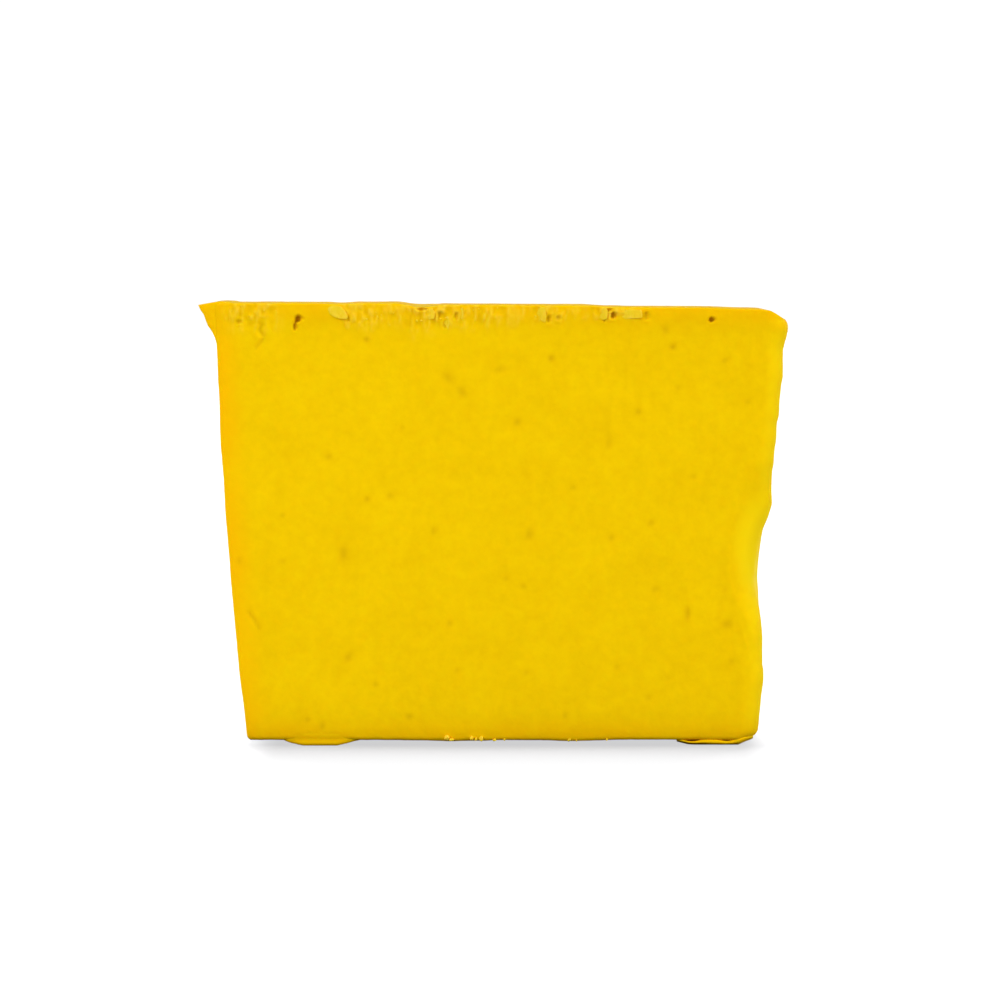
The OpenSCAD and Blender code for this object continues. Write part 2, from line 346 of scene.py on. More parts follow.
def back_relief(x, z):
    """The back was pressed on a flat sheet: fine drag lines, a few wide dents, torn a little at the top."""
    below_top = top_z(x, 1.0) - z
    torn = 0.5 * ease(below_top, 2.6, 0.6) * ease(lumps(x, z * 0, 6, 1, 21), 0.0, 0.6)
    out = 0.06 * lumps(x, z, 13, 11, 22) + 0.02 * lumps(x + 0.15 * z, z, 1.1, 13, 23)
    out += torn * 0.12 * (lumps(x, z, 0.7, 1.6, 24) + 0.6 * lumps(x, z, 1.1, 1.1, 25))
    return out, torn * 0, torn


def side_relief(side, along, y):
    """How far a side stands out: a blade left fine lines on the cuts, and fingers left waves on the right."""
    if side == "right":
        return lump_sum(along, y, PRESSED_SIDE_LUMPS)
    seed = {"left": 33, "top": 34, "under": 35}[side]
    drift = y + 0.6 * lumps(along, y * 0, 16, 1, seed)
    return (
        0.035 * lumps(along, drift, 16, 0.62, seed + 10) + 0.025 * lumps(along, drift, 9, 1.5, seed + 20)
        + 0.02 * lumps(along, y, 2.2, 2.2, seed + 30)
    )


# -------- the bar's mesh
# Where the grid of the faces is finer, as (place, width, strength), across and upwards.
ACROSS_CROWDS = [
    (-36, 0.35, 6), (36, 0.9, 2.6), (32.5, 3, 0.35), (-30.5, 2, 0.35), (-25.9, 0.6, 1.0), (-18.8, 1.2, 0.7),
    (-8, 5, 0.4), (6, 1.6, 0.5), (13, 1.8, 0.5), (26.2, 0.5, 0.9),
]
UPWARD_CROWDS = [(0, 0.5, 4), (0, 2, 0.5), (55, 0.35, 5), (53, 2.4, 0.9)]
# Depths of the rings between the two faces. The coarse ones have every other place only.
FINE_DEPTHS = [0.008, 0.022, 0.045, 0.075, 0.11]
COARSE_DEPTHS = list(np.linspace(0.14, 0.97, 28)) + [0.99]
# Each side's outward direction as (x, z), in the order in which a ring runs round the bar.
OUTWARD = {"under": (0.0, -1.0), "right": (1.0, 0.08), "top": (0.0, 1.0), "left": (-1.0, -0.05)}


def shares(count, start, end, crowds):
    """Shares of the way from start to end, closer together round each crowd."""
    place = np.linspace(start, end, 6001)
    density = np.ones_like(place)
    for middle, width, strength in crowds:
        density += strength * hill((place - middle) / width)
    run = np.concatenate(([0.0], np.cumsum((density[1:] + density[:-1]) / 2)))
    return np.interp(np.linspace(0, run[-1], count), run, (place - start) / (end - start))


def outline_sides(u, v, depth):
    """The four sides of the outline at a depth share: under, right, top and left, as (x, z) arrays."""
    under_x = left_x(0) + u * (right_x(0, depth) - left_x(0))
    sag = follow(FOOT_LINE, under_x) * (1 - ease(depth, 0.05, 0.3))
    sag = sag + 0.05 * depth * lumps(under_x, u * 0, 5, 1, 42)
    under = columns(under_x, sag * ease(u, 0, 0.05) * ease(u, 1, 0.95))
    right_z = v * RIGHT_TOP
    right = columns(right_x(right_z, depth), right_z)
    top_x = -HALF_TOP + u * (right_x(RIGHT_TOP, depth) + HALF_TOP)
    top = columns(top_x, top_z(top_x, depth))
    top[-1] = right[-1]
    left_z = v * top[0, 1]
    left = columns(left_x(left_z), left_z)
    under[0], under[-1], left[-1] = left[0], right[0], top[0]
    return under, right, top, left


def face_grid(u, v, depth):
    """Places spread over the outline, from its four sides."""
    under, right, top, left = outline_sides(u, v, depth)
    a, b = u[:, None, None], v[None, :, None]
    grid = (1 - b) * under[:, None] + b * top[:, None] + (1 - a) * left[None] + a * right[None]
    return grid - (
        (1 - a) * (1 - b) * under[0] + a * (1 - b) * under[-1] + (1 - a) * b * top[0] + a * b * top[-1]
    )


def loop_of(u_count, v_count):
    """Grid places round the outline, anticlockwise from the bottom left corner seen from the front."""
    i, j = np.arange(u_count), np.arange(v_count)
    return np.concatenate([
        columns(i[:-1], i[:-1] * 0), columns(j[:-1] * 0 + u_count - 1, j[:-1]),
        columns(i[:0:-1], i[:0:-1] * 0 + v_count - 1), columns(j[:0:-1] * 0, j[:0:-1]),
    ]).T


def edge_fall(x, z, depth_share):
    """How far a broad face falls back at its edges, which are sharp where cut and round where pressed."""
    from_left, from_right = x - left_x(z), right_x(z, depth_share) - x
    from_top = top_z(x, depth_share) - z
    from_foot = np.maximum(z - follow(FOOT_LINE, x) * (1 - depth_share), 0)
    across = rolled(from_left, 0.5, 0.35 - 0.25 * ease(z, 46, 50)) + rolled(from_right, *PRESSED_ROUND)
    up = rolled(from_top, 0.2, 0.14) + rolled(from_foot, 0.5, 0.3)
    return np.hypot(across, up)


def side_ring(u, v, depth, start_y, end_y):
    """Places round the bar's sides, a share `depth` of the way from its front edge to its back edge."""
    under, right, top, left = outline_sides(u, v, depth)
    y = start_y + (end_y - start_y) * depth
    fade = ease(depth, 0, 0.05) * ease(depth, 1, 0.95)
    ring, first = [], 0
    for side, run in zip(OUTWARD, (under[:-1], right[:-1], top[:0:-1], left[:0:-1])):
        here = y[first:first + len(run)]
        first += len(run)
        along = run[:, 0] if side in ("under", "top") else run[:, 1]
        step = np.arange(len(run))
        out = side_relief(side, along, here) * ease(np.minimum(step, len(run) - step), 0, 8) * fade
        out_x, out_z = OUTWARD[side]
        ring.append(columns(run[:, 0] + out_x * out, here, run[:, 1] + out_z * out))
    return np.concatenate(ring)


def wall_between(first, second):
    """Faces between two loops, the second one further back and with as many places or half as many."""
    after = np.roll(second, -1)
    if len(first) == len(second):
        return columns(first, second, after, np.roll(first, -1)).tolist()
    a, b, c = first[::2], first[1::2], np.roll(first[::2], -1)
    corners = (a, second, b), (b, second, after), (b, after, c)
    return [face for trio in corners for face in columns(*trio).tolist()]


def bar_mesh():
    """Points, faces and marks of the bar: a fine front, a coarser back and a wall of rings between them."""
    u, v = shares(281, -HALF_TOP, HALF_TOP, ACROSS_CROWDS), shares(221, 0, HEIGHT, UPWARD_CROWDS)
    front, back = face_grid(u, v, 0.0), face_grid(u[::2], v[::2], 1.0)
    fx, fz, bx, bz = front[..., 0], front[..., 1], back[..., 0], back[..., 1]
    front_out, front_pit_shade, front_torn = front_relief(fx, fz)
    back_out, back_pit_shade, back_torn = back_relief(bx, bz)
    front_y = FRONT + edge_fall(fx, fz, 0.0) - front_out
    back_y = BACK - edge_fall(bx, bz, 1.0) + back_out

    points = [columns(fx, front_y, fz).reshape(-1, 3), columns(bx, back_y, bz).reshape(-1, 3)]
    near = np.arange(front_y.size).reshape(front_y.shape)
    far = np.arange(back_y.size).reshape(back_y.shape) + near.size
    faces = columns(near[:-1, :-1], near[1:, :-1], near[1:, 1:], near[:-1, 1:]).reshape(-1, 4).tolist()
    faces += columns(far[:-1, :-1], far[:-1, 1:], far[1:, 1:], far[1:, :-1]).reshape(-1, 4).tolist()

    near_i, near_j = loop_of(*near.shape)
    far_i, far_j = loop_of(*far.shape)
    start_y = front_y[near_i, near_j]
    end_y = np.repeat(back_y[far_i, far_j], 2)
    end_y = (end_y + np.roll(end_y, -1)) / 2
    last, count = near[near_i, near_j], near.size + far.size
    for depth in FINE_DEPTHS + COARSE_DEPTHS:
        ring = side_ring(u, v, depth, start_y, end_y)
        if depth > FINE_DEPTHS[-1]:
            ring = ring[::2]
        here = np.arange(len(ring)) + count
        faces += wall_between(last, here)
        points.append(ring)
        last, count = here, count + len(ring)
    faces += wall_between(last, far[far_i, far_j])

    points = np.concatenate(points)
    wall = np.zeros(len(points) - near.size - far.size)
    x, _, z = points.T
    # Painted orange bands: light scattered through the cut left edge, and shade along the foot and the top.
    glow_and_shade_bands = [
        0.85 * ease(x - left_x(z), 3.8, 0.2), 0.7 * ease(z, 3.6, 0.3), 0.6 * ease(top_z(x) - z, 3.6, 0.3),
    ]
    # Painted highlight: lighter along the rounded pressed side and in the thumb press, where light catches
    # them.
    press = np.clip(1.5 - ((x - 32.7) / 3.2) ** 2 - ((z - 24) / 6.5) ** 2, 0, 1)
    return points, faces, {
        "pit_shade": np.concatenate([front_pit_shade.ravel(), back_pit_shade.ravel(), wall]),
        "torn": np.concatenate([front_torn.ravel(), back_torn.ravel(), wall]),
        "edge_glow_and_shade": np.maximum.reduce(glow_and_shade_bands),
        "pressed": np.maximum(0.6 * ease(right_x(z) - x, 2.6, 0.4), press),
        "plain": np.concatenate([np.zeros(near.size), np.ones(far.size), wall + 1]),
    }


def add_object(name, data):
    thing = bpy.data.objects.new(name, data)
    bpy.context.scene.collection.objects.link(thing)
    return thing


def make_piece(name, points, faces, marks=None):
    """A piece from points in the bar's own millimetres, with a value per point for each mark."""
    mesh = bpy.data.meshes.new(name)
    mesh.from_pydata((np.asarray(points, float) * MM + np.array(MIDDLE)).tolist(), [], faces)
    for mark, values in (marks or {}).items():
        mesh.attributes.new(mark, "FLOAT", "POINT").data.foreach_set("value", np.asarray(values, np.float32))
    return add_object(name, mesh)


def finish_mesh(piece, finish):
    """Merges doubles, turns every face outwards, shades the piece smooth and gives it its clay."""
    shape = bmesh.new()
    shape.from_mesh(piece.data)
    bmesh.ops.remove_doubles(shape, verts=shape.verts, dist=1e-7)
    bmesh.ops.recalc_face_normals(shape, faces=shape.faces)
    shape.to_mesh(piece.data)
    shape.free()
    piece.data.shade_smooth()
    piece.data.materials.append(finish)
    return piece


def loft(rings):
    """Points and faces of a closed skin through rings of the same count, with a middle point in each end."""
    rings = np.asarray(rings, float)
    steps, count, _ = rings.shape
    points = np.concatenate([rings.reshape(-1, 3), [rings[0].mean(0)], [rings[-1].mean(0)]])
    index = np.arange(steps * count).reshape(steps, count)
    faces = []
    for first, second in zip(index, index[1:]):
        faces += wall_between(first, second)
    for ring, middle in ((index[0], steps * count), (index[-1], steps * count + 1)):
        faces += [[a, b, middle] for a, b in zip(ring.tolist(), np.roll(ring, -1).tolist())]
    return points, faces


def resample(loop, count):
    """`count` places evenly spaced round a closed loop of corners."""
    loop = np.vstack([loop, loop[:1]])
    run = np.concatenate(([0], np.cumsum(np.linalg.norm(np.diff(loop, axis=0), axis=1))))
    at = np.linspace(0, run[-1], count, endpoint=False)
    return columns(*(np.interp(at, run, loop[:, k]) for k in range(loop.shape[1])))


# -------- node trees
def connect(tree, value, socket):
    """Links a socket to another node's, or gives it a constant."""
    if isinstance(value, bpy.types.NodeSocket):
        tree.links.new(value, socket)
    else:
        socket.default_value = value


def add_node(tree, kind, inputs=None, **settings):
    node = tree.nodes.new(kind)
    for name, value in settings.items():
        setattr(node, name, value)
    for key, value in (inputs or {}).items():
        connect(tree, value, node.inputs[key])
    return node


def output_of(tree, kind, inputs=None, **settings):
    """The first output of a new node."""
    return add_node(tree, kind, inputs, **settings).outputs[0]


def math_node(tree, operation, a, b=0.0, **settings):
    return output_of(tree, "ShaderNodeMath", {0: a, 1: b}, operation=operation, **settings)


def times(tree, a, b, **settings):
    return math_node(tree, "MULTIPLY", a, b, **settings)


def vector_math(tree, operation, vector, other):
    key = "Scale" if operation == "SCALE" else 1
    return output_of(tree, "ShaderNodeVectorMath", {0: vector, key: other}, operation=operation)


def blend(tree, share, a, b):
    """Mixes two colours by a share."""
    return add_node(tree, "ShaderNodeMix", {0: share, 6: a, 7: b}, data_type="RGBA").outputs[2]


def stretch(tree, value, low, high, new_low=0.0, new_high=1.0, kind="LINEAR"):
    inputs = {0: value, 1: low, 2: high, 3: new_low, 4: new_high}
    return output_of(tree, "ShaderNodeMapRange", inputs, interpolation_type=kind)


def noise(tree, place, scale, detail=2.0, roughness=0.5, output="Fac"):
    inputs = {"Vector": place, "Scale": scale, "Detail": detail, "Roughness": roughness}
    return add_node(tree, "ShaderNodeTexNoise", inputs).outputs[output]


def stored_mark(tree, name):
    return output_of(tree, "GeometryNodeInputNamedAttribute", {"Name": name}, data_type="FLOAT")


def new_group(name, kind, inputs, outputs):
    """A node group with named inputs, given as (name, socket kind, default), and named outputs."""
    tree = bpy.data.node_groups.new(name, kind)
    for label, socket_kind, default in inputs:
        socket = tree.interface.new_socket(name=label, in_out="INPUT", socket_type="NodeSocket" + socket_kind)
        if default is not None:
            socket.default_value = default
    for label, socket_kind in outputs:
        tree.interface.new_socket(name=label, in_out="OUTPUT", socket_type="NodeSocket" + socket_kind)
    return tree, tree.nodes.new("NodeGroupInput").outputs, tree.nodes.new("NodeGroupOutput").inputs


def clay_relief_tree():
    """Fine lumps over the whole skin, and small pits scattered over the plain sides, each with painted shade.
    """
    tree, given, result = new_group("clay relief", "GeometryNodeTree", [
        ("Geometry", "Geometry", None), ("Lump height", "Float", 0.00003), ("Lump size", "Float", 0.0012),
        ("Pits per square metre", "Float", 12000.0), ("Pit radius", "Float", 0.0005),
        ("Pit depth", "Float", 0.0001), ("Seed", "Int", 7), ("Clay", "Material", None),
    ], [("Geometry", "Geometry")])
    place = output_of(tree, "GeometryNodeInputPosition")
    normal = output_of(tree, "GeometryNodeInputNormal")
    grain = noise(tree, place, math_node(tree, "DIVIDE", 1.0, given["Lump size"]), 2.5, 0.6)
    lump = times(tree, math_node(tree, "SUBTRACT", grain, 0.5), given["Lump height"])
    lump = times(tree, lump, 4.0)

    density = times(tree, given["Pits per square metre"], stored_mark(tree, "plain"))
    scatter = output_of(tree, "GeometryNodeDistributePointsOnFaces", {
        "Mesh": given["Geometry"], "Density": density, "Seed": given["Seed"],
    }, distribute_method="RANDOM")
    near = add_node(tree, "GeometryNodeProximity", {0: scatter}, target_element="POINTS")
    size = stretch(tree, noise(tree, place, 230.0), 0.35, 0.65, 0.5, 1.3)
    radius = times(tree, given["Pit radius"], size)
    share = math_node(tree, "DIVIDE", near.outputs["Distance"], radius)
    dip = stretch(tree, share, 0.0, 1.0, 1.0, 0.0, kind="SMOOTHSTEP")
    sink = times(tree, dip, given["Pit depth"])
    move = vector_math(tree, "SCALE", normal, math_node(tree, "SUBTRACT", lump, sink))
    # Painted shade in the scattered pits.
    pit_shade = math_node(tree, "MAXIMUM", stored_mark(tree, "pit_shade"), times(tree, dip, 0.35))
    stored = output_of(tree, "GeometryNodeStoreNamedAttribute", {
        "Geometry": given["Geometry"], "Name": "pit_shade", "Value": pit_shade,
    }, data_type="FLOAT", domain="POINT")
    moved = output_of(tree, "GeometryNodeSetPosition", {"Geometry": stored, "Offset": move})
    real = output_of(tree, "GeometryNodeRealizeInstances", {"Geometry": moved})
    done = output_of(tree, "GeometryNodeSetMaterial", {"Geometry": real, "Material": given["Clay"]})
    tree.links.new(done, result[0])
    return tree


def torn_crumb_tree():
    """A torn crumb at every guide point, each one a lumpy ball squashed and turned its own way."""
    tree, given, result = new_group("torn crumbs", "GeometryNodeTree", [
        ("Geometry", "Geometry", None), ("Smallest share", "Float", 0.6), ("Largest share", "Float", 1.3),
        ("Raggedness", "Float", 0.5), ("Seed", "Int", 5), ("Clay", "Material", None),
    ], [("Geometry", "Geometry")])

    def random_vector(low, high):
        inputs = {0: low, 1: high, "Seed": given["Seed"]}
        return output_of(tree, "FunctionNodeRandomValue", inputs, data_type="FLOAT_VECTOR")

    ball = output_of(tree, "GeometryNodeMeshIcoSphere", {"Radius": 1.0, "Subdivisions": 3})
    low, high = (
        output_of(tree, "ShaderNodeCombineXYZ", {axis: given[share] for axis in range(3)})
        for share in ("Smallest share", "Largest share")
    )
    scale = vector_math(tree, "SCALE", random_vector(low, high), stored_mark(tree, "size"))
    placed = output_of(tree, "GeometryNodeInstanceOnPoints", {
        "Points": given["Geometry"], "Instance": ball, "Scale": scale,
        "Rotation": random_vector((-3.1, -3.1, -3.1), (3.1, 3.1, 3.1)),
    })
    real = output_of(tree, "GeometryNodeRealizeInstances", {"Geometry": placed})
    place = output_of(tree, "GeometryNodeInputPosition")
    push = vector_math(tree, "SUBTRACT", noise(tree, place, 1900.0, output="Color"), (0.5, 0.5, 0.5))
    push = vector_math(tree, "SCALE", push, times(tree, given["Raggedness"], 0.0012))
    moved = output_of(tree, "GeometryNodeSetPosition", {"Geometry": real, "Offset": push})
    done = output_of(tree, "GeometryNodeSetMaterial", {"Geometry": moved, "Material": given["Clay"]})
    tree.links.new(done, result[0])
    return tree


def apply_tree(piece, tree, **values):
    """Runs a geometry tree on a piece, with its named inputs, and keeps the result as a plain mesh."""
    modifier = piece.modifiers.new(tree.name, "NODES")
    modifier.node_group = tree
    for socket in tree.interface.items_tree:
        if socket.item_type == "SOCKET" and socket.in_out == "INPUT" and socket.name in values:
            modifier[socket.identifier] = values[socket.name]
    graph = bpy.context.evaluated_depsgraph_get()
    result = piece.evaluated_get(graph)
    mesh = bpy.data.meshes.new_from_object(result, preserve_all_data_layers=True, depsgraph=graph)
    piece.modifiers.remove(modifier)
    piece.data = mesh


# -------- clay finishes
# Linear colours of the putty.
CLAY = (0.945, 0.625, 0.0012, 1)
DEEP_CLAY = (0.85, 0.535, 0.0008, 1)
# Painted light and shade: the orange of light scattered through the cut edge and of shade at the foot and
# top.
GLOW_AND_SHADE_CLAY = (0.965, 0.525, 0.001, 1)
# Painted highlight for the pressed side and the thumb press.
PAINTED_HIGHLIGHT_CLAY = (0.985, 0.69, 0.003, 1)
# Paler torn clay, partly a painted highlight on raised shreds, scales and crumbs.
TORN_AND_HIGHLIGHT_CLAY = (1.0, 0.66, 0.04, 1)
# Painted shade in pits, holes, scratches and torn hollows.
PIT_SHADE_CLAY = (0.6, 0.3, 0.003, 1)
SPECULAR_TINT = (1.0, 0.7, 0.02, 1)
WHITE = (1, 1, 1, 1)


def clay_colour_group():
    """Clay colour: mottled; more orange along the cut left edge, the foot and the top, which is painted light
    scattered through the edge and painted shade; lighter along the pressed side and in the thumb press as a
    painted highlight; paler where torn, partly torn clay and partly a painted highlight on raised shreds;
    browner in pits as painted shade.
    """
    colours = ("Clay", "Deep clay", "Glow and shade clay", "Pressed clay", "Torn and highlight clay", "Pit shade clay")
    tree, given, result = new_group("clay colour", "ShaderNodeTree", [
        ("Position", "Vector", None), *((label, "Color", WHITE) for label in colours),
        ("Mottle", "Float", 0.5),
        *((label, "Float", 0.0) for label in ("Edge glow and shade", "Pressed", "Torn", "Pit")),
    ], [("Color", "Color")])
    place = given["Position"]
    fine, broad = noise(tree, place, 900.0, 3.0, 0.6), noise(tree, place, 160.0, 3.0)
    cloud = math_node(
        tree, "ADD", stretch(tree, fine, 0.3, 0.7, 0, 0.6), stretch(tree, broad, 0.3, 0.7, 0, 0.4),
    )
    colour = blend(tree, times(tree, cloud, given["Mottle"]), given["Clay"], given["Deep clay"])
    colour = blend(tree, given["Pressed"], colour, given["Pressed clay"])
    # Painted light and shade: orange where light scatters through the cut edge and where the foot and top lie
    # in shade.
    ragged = stretch(tree, broad, 0.3, 0.7, 0.6, 1.2)
    edge = times(tree, given["Edge glow and shade"], ragged, use_clamp=True)
    colour = blend(tree, edge, colour, given["Glow and shade clay"])
    # Paler where torn: partly torn clay, partly a painted highlight.
    speck = stretch(tree, noise(tree, place, 1500.0), 0.42, 0.62, 0.5, 1.0)
    colour = blend(tree, times(tree, speck, given["Torn"]), colour, given["Torn and highlight clay"])
    # Painted shade: browner in the pits.
    pit_shade = times(tree, given["Pit"], 1.0, use_clamp=True)
    tree.links.new(blend(tree, pit_shade, colour, given["Pit shade clay"]), result[0])
    return tree


def clay_grain_group():
    """Height and roughness of the fine grain: soft grain everywhere, and rough fibres where the clay tore."""
    tree, given, result = new_group("clay grain", "ShaderNodeTree", [
        ("Position", "Vector", None), ("Grain size", "Float", 0.0005), ("Torn", "Float", 0.0),
    ], [("Height", "Float"), ("Roughness", "Float")])
    grain = noise(tree, given["Position"], math_node(tree, "DIVIDE", 1.0, given["Grain size"]), 3.0, 0.65)
    fibre_place = vector_math(tree, "MULTIPLY", given["Position"], (2600.0, 2600.0, 900.0))
    fibre = noise(tree, fibre_place, 1.0)
    fibre = times(tree, fibre, times(tree, given["Torn"], 3.0))
    tree.links.new(math_node(tree, "ADD", grain, fibre), result["Height"])
    dull = stretch(tree, grain, 0.3, 0.7, 0.52, 0.64)
    tree.links.new(math_node(tree, "ADD", dull, times(tree, given["Torn"], 0.15)), result["Roughness"])
    return tree


COLOUR_GROUP = clay_colour_group()
GRAIN_GROUP = clay_grain_group()


def clay_finish(name, mottle, grain_size, grain_depth, torn=None, edge_glow_shade=None):
    """A clay finish. Torn shares and shares of painted edge glow and shade come from the piece's marks unless
    they are given.
    """
    material = bpy.data.materials.new(name)
    material.use_nodes = True
    tree = material.node_tree
    skin = tree.nodes["Principled BSDF"]
    place = add_node(tree, "ShaderNodeTexCoord").outputs["Object"]

    def mark(label, fixed=None):
        if fixed is not None:
            return fixed
        return add_node(tree, "ShaderNodeAttribute", attribute_name=label).outputs["Fac"]

    torn_share = mark("torn", torn)
    colour = add_node(tree, "ShaderNodeGroup", {
        "Position": place, "Clay": CLAY, "Deep clay": DEEP_CLAY, "Glow and shade clay": GLOW_AND_SHADE_CLAY,
        "Pressed clay": PAINTED_HIGHLIGHT_CLAY, "Torn and highlight clay": TORN_AND_HIGHLIGHT_CLAY, "Pit shade clay": PIT_SHADE_CLAY, "Mottle": mottle,
        "Edge glow and shade": mark("edge_glow_and_shade", edge_glow_shade), "Pressed": mark("pressed"), "Torn": torn_share,
        "Pit": mark("pit_shade"),
    }, node_tree=COLOUR_GROUP)
    grain = add_node(tree, "ShaderNodeGroup", {
        "Position": place, "Grain size": grain_size, "Torn": torn_share,
    }, node_tree=GRAIN_GROUP)
    bump = add_node(tree, "ShaderNodeBump", {
        "Strength": 1.0, "Distance": grain_depth, "Height": grain.outputs["Height"],
    })
    for label, value in {
        "Base Color": colour.outputs["Color"], "Roughness": grain.outputs["Roughness"],
        "Normal": bump.outputs["Normal"], "Specular IOR Level": 0.2, "Specular Tint": SPECULAR_TINT,
        "Subsurface Weight": 0.25, "Subsurface Radius": (1.0, 0.4, 0.03), "Subsurface Scale": 0.0006,
    }.items():
        connect(tree, value, skin.inputs[label])
    return material


body_clay = clay_finish("pressed yellow clay", 0.9, 0.0005, 0.00003)
# The torn finish, used for the raised scales and crumbs, is mostly the paler torn colour, partly a painted
# highlight.
torn_clay = clay_finish("torn yellow clay", 0.2, 0.0004, 0.00003, torn=1.0, edge_glow_shade=0.1)
# The squeezed clay under the bar carries a fixed share of the painted orange shade; the torn finish a small
# share of the edge glow and shade.
squeezed_clay = clay_finish("squeezed yellow clay", 0.7, 0.0006, 0.00003, torn=0.0, edge_glow_shade=0.7)

RELIEF_TREE = clay_relief_tree()
CRUMB_TREE = torn_crumb_tree()


# -------- pieces
def make_bar():
    bar = make_piece("bar", *bar_mesh())
    apply_tree(bar, RELIEF_TREE, **{
        "Lump height": 0.000024, "Lump size": 0.0013, "Pits per square metre": 11000.0, "Pit radius": 0.0006,
        "Pit depth": 0.00011, "Seed": 7, "Clay": body_clay,
    })
    bar.data.shade_smooth()
    return bar


def make_flap():
    """Clay dragged over the top left corner: a thin skin on the top cut that curls into a ragged fin."""
    section = np.array([
        (-38.1, 54.75), (-37.82, 54.1), (-37.42, 53.55), (-37.1, 52.6), (-36.88, 52.1), (-36.52, 51.6),
        (-36.26, 51.1), (-36.04, 50.6), (-35.9, 50.1), (-35.74, 49.6), (-35.5, 49.1), (-35.2, 49.3),
        (-34.7, 52), (-34.2, 54.3), (-33.5, 54.9), (-34.2, 55.08), (-35.2, 55.14), (-36.2, 55.08),
        (-37.2, 54.92),
    ])
    loop = resample(section, 90)
    centre = np.array([-35.7, 53.5])
    # How the rings grow from the middle of an end to its rim, as (size, share of the cap's length).
    cap = [
        (0.06, 0), (0.3, 0), (0.55, 0), (0.75, 0), (0.88, 0.01), (0.95, 0.03), (0.985, 0.06), (1.0, 0.12),
    ]
    cap_length = 0.05
    steps = [(size, share * cap_length) for size, share in cap]
    steps += [(1.0, step) for step in np.linspace(0.012, 0.988, 52)]
    steps += [(size, 1 - share * cap_length) for size, share in cap[::-1]]
    rings = []
    for size, step in steps:
        ring = centre + (loop - centre) * size
        y = FRONT + (BACK - FRONT) * step
        ragged = 1 - 0.16 * ease(step, 0.03, 0.12) * (1 + lumps(y, 0, 1.1, 1, 51))
        ragged -= 0.1 * ease(step, 0.2, 0.9)
        x = np.where(ring[:, 0] < -HALF_TOP, (ring[:, 0] + HALF_TOP) * ragged - HALF_TOP, ring[:, 0])
        wave = ease(step, 0.02, 0.1) * ease(step, 0.98, 0.9)
        z = ring[:, 1] + 0.7 * wave * lumps(y, 0, 1.6, 1, 54) * ease(ring[:, 1], 52, 50)
        sway, lift = lumps(z, z * 0 + y, 0.8, 1.2, 52), lumps(x, x * 0 + y, 0.9, 1.3, 53)
        x, z = x + 0.05 * wave * sway, z + 0.05 * wave * lift
        # Both ends carry on from the bar's own faces and dive into them where they meet.
        on_bar = np.maximum(x, -35.9)
        dive = 0.5 * ease(x, -36.05, -35.3)
        first = FRONT - front_relief(on_bar, z)[0] - 0.015 + dive
        last = BACK + back_relief(on_bar, z)[0] + 0.01 - dive
        rings.append(columns(x, first + (last - first) * step, z))
    points, faces = loft(rings)
    x, y, _ = points.T
    return finish_mesh(make_piece("flap", points, faces, {
        # Painted orange light scattered through the flap's cut edge.
        "edge_glow_and_shade": 0.85 * ease(x, -32.2, -35.8),
        "torn": 0.3 * ease(y, FRONT + 0.3, FRONT + 1.5) * ease(x, -36.2, -37),
    }), body_clay)


def scale_skin(outline, lift, thick, turn, seed):
    """A scale of torn clay over (x, z) corners, stuck at one end and lifted at the end that `turn` faces."""
    corners = resample(np.array(outline, float), 40)
    middle = corners.mean(0)
    corners += 0.05 * columns(lumps(*corners.T, 0.4, 0.4, seed), lumps(*corners.T, 0.4, 0.4, seed + 1))
    way = np.array([math.cos(math.radians(turn)), math.sin(math.radians(turn))])
    reach = (corners - middle) @ way
    sizes = np.concatenate([np.linspace(0.12, 0.9, 8), [0.96, 1.0, 1.0, 0.96], np.linspace(0.9, 0.12, 8)])
    rims = np.concatenate([np.ones(8), [0.85, 0.4, -0.4, -0.85], -np.ones(8)])
    loops = []
    for size, rim in zip(sizes, rims):
        place = middle + (corners - middle) * size
        free = np.clip(((place - middle) @ way - reach.min()) / (reach.max() - reach.min()), 0, 1)
        wall = thick * (0.55 + 0.45 * free)
        height = (lift + 0.1) * free ** 1.3 - 0.06 + 0.03 * lumps(*place.T, 0.5, 0.5, seed + 2)
        height = height - wall / 2 + rim * wall / 2
        flare = top_flare(top_z(place[:, 0]) - place[:, 1])
        loops.append(columns(place[:, 0], FRONT - flare - height, place[:, 1]))
    return loft(loops)


def make_crumbs(name, guides, seed):
    """Crumbs at (x, stand-out from the face, z, radius) guides."""
    guides = np.array(guides, float)
    points = columns(guides[:, 0], FRONT - guides[:, 1], guides[:, 2])
    crumbs = make_piece(name, points, [], {"size": guides[:, 3] * MM})
    apply_tree(crumbs, CRUMB_TREE, **{
        "Smallest share": 0.55, "Largest share": 1.25, "Raggedness": 0.3, "Seed": seed, "Clay": torn_clay,
    })
    return crumbs


def join(name, pieces, finish):
    """One piece from several."""
    shape = bmesh.new()
    for piece in pieces:
        shape.from_mesh(piece.data)
        bpy.data.objects.remove(piece)
    mesh = bpy.data.meshes.new(name)
    shape.to_mesh(mesh)
    shape.free()
    mesh.materials.clear()
    mesh.materials.append(finish)
    for polygon in mesh.polygons:
        polygon.material_index = 0
    mesh.shade_smooth()
    return add_object(name, mesh)


